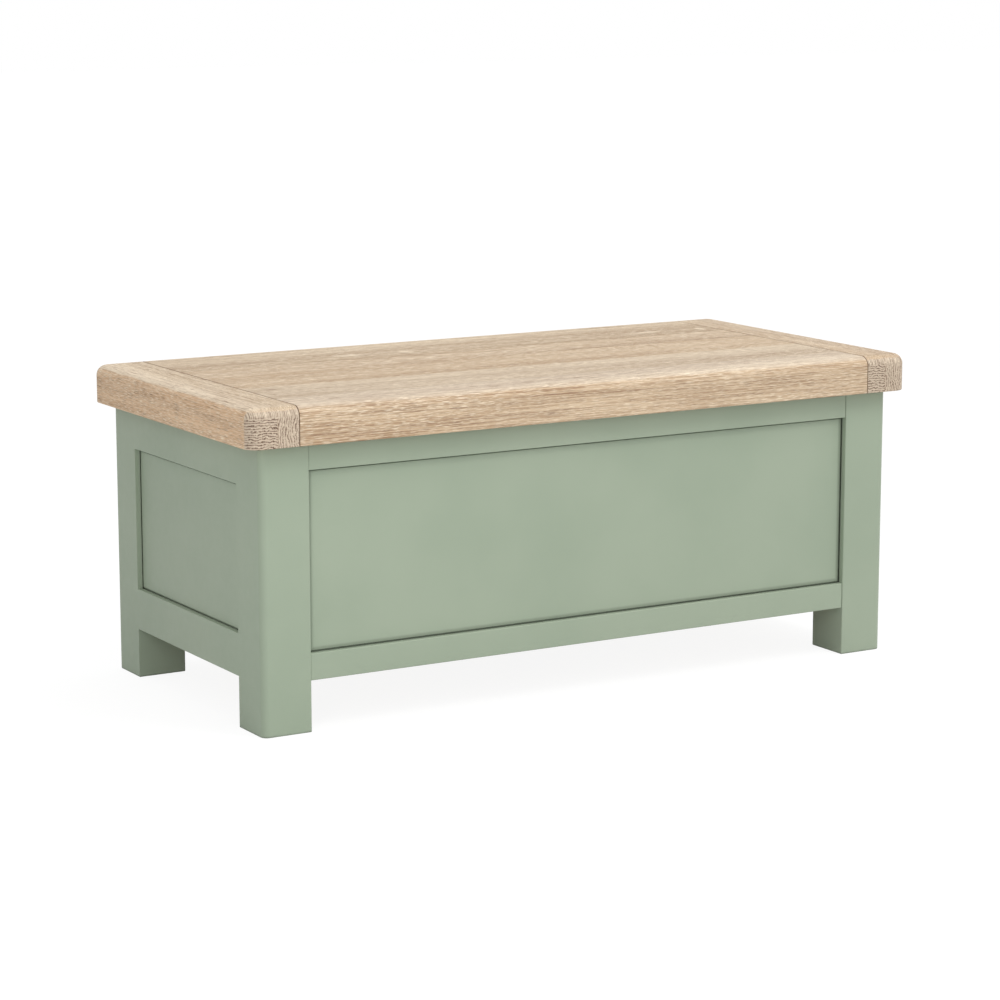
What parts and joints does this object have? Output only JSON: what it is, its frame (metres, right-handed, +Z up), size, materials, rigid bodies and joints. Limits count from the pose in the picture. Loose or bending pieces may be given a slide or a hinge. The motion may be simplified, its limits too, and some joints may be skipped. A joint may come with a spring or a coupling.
{
  "type": "blanket chest",
  "caption": "Low wooden blanket chest: painted frame-and-panel case on post feet under a thick hinged lid with breadboard ends, held open by slotted stays.",
  "frame": {"origin": "on the floor, under the middle of the lid's outline", "axes": "+X to the right along the chest's length, -Y to the front, +Z up"},
  "size_m": [1.1, 0.522, 0.456],
  "materials": {
    "painted_wood": "satin sage-green paint",
    "plain_wood": "bare, sanded",
    "oak": "bleached and limed, matt wax",
    "brass": "brushed, slightly aged",
    "pad": "soft, matt"
  },
  "bodies": {
    "case": {"post_front_left": "painted_wood", "post_front_right": "painted_wood", "post_back_left": "painted_wood", "post_back_right": "painted_wood", "front_rail_top": "painted_wood", "front_rail_bottom": "painted_wood", "back_rail_top": "painted_wood", "back_rail_bottom": "painted_wood", "end_rail_left_top": "painted_wood", "end_rail_left_bottom": "painted_wood", "end_rail_right_top": "painted_wood", "end_rail_right_bottom": "painted_wood", "front_panel": "painted_wood", "back_panel": "painted_wood", "end_panel_left": "painted_wood", "end_panel_right": "painted_wood", "base_cleat_front": "plain_wood", "base_cleat_back": "plain_wood", "base_cleat_left": "plain_wood", "base_cleat_right": "plain_wood", "base_board": "plain_wood", "lid_bumper_left": "pad", "lid_bumper_right": "pad", "hinge_case_leaf_left": "brass", "hinge_case_leaf_right": "brass", "hinge_pin_left": "brass", "hinge_pin_right": "brass", "stay_stud_left": "brass", "stay_stud_right": "brass"},
    "lid": {"lid_board_1": "oak", "lid_board_2": "oak", "lid_board_3": "oak", "lid_board_4": "oak", "lid_board_5": "oak", "lid_cap_left": "oak", "lid_cap_right": "oak", "hinge_lid_leaf_left": "brass", "hinge_lid_leaf_right": "brass", "stay_bracket_left": "brass", "stay_bracket_right": "brass", "stay_rivet_left": "brass", "stay_rivet_right": "brass"},
    "stay_arm_left": {"stay_arm_left": "brass"},
    "stay_arm_right": {"stay_arm_right": "brass"}
  },
  "joints": [
    {"name": "lid_hinge", "type": "hinge", "parent": "case", "child": "lid", "pos_m": [0, 0.247, 0.4], "axis": [-1, 0, 0], "range_deg": [0, 92]},
    {"name": "stay_left_swing", "type": "hinge", "parent": "lid", "child": "stay_arm_left", "pos_m": [-0.4974, 0.11363, 0.387], "axis": [-1, 0, 0], "range_deg": [-46, 0]},
    {"name": "stay_right_swing", "type": "hinge", "parent": "lid", "child": "stay_arm_right", "pos_m": [0.4974, 0.11363, 0.387], "axis": [-1, 0, 0], "range_deg": [-46, 0]}
  ],
  "couplings": [
    {"joint": "stay_left_swing", "follows": "lid_hinge", "ratio": -0.5},
    {"joint": "stay_right_swing", "follows": "lid_hinge", "ratio": -0.5}
  ]
}
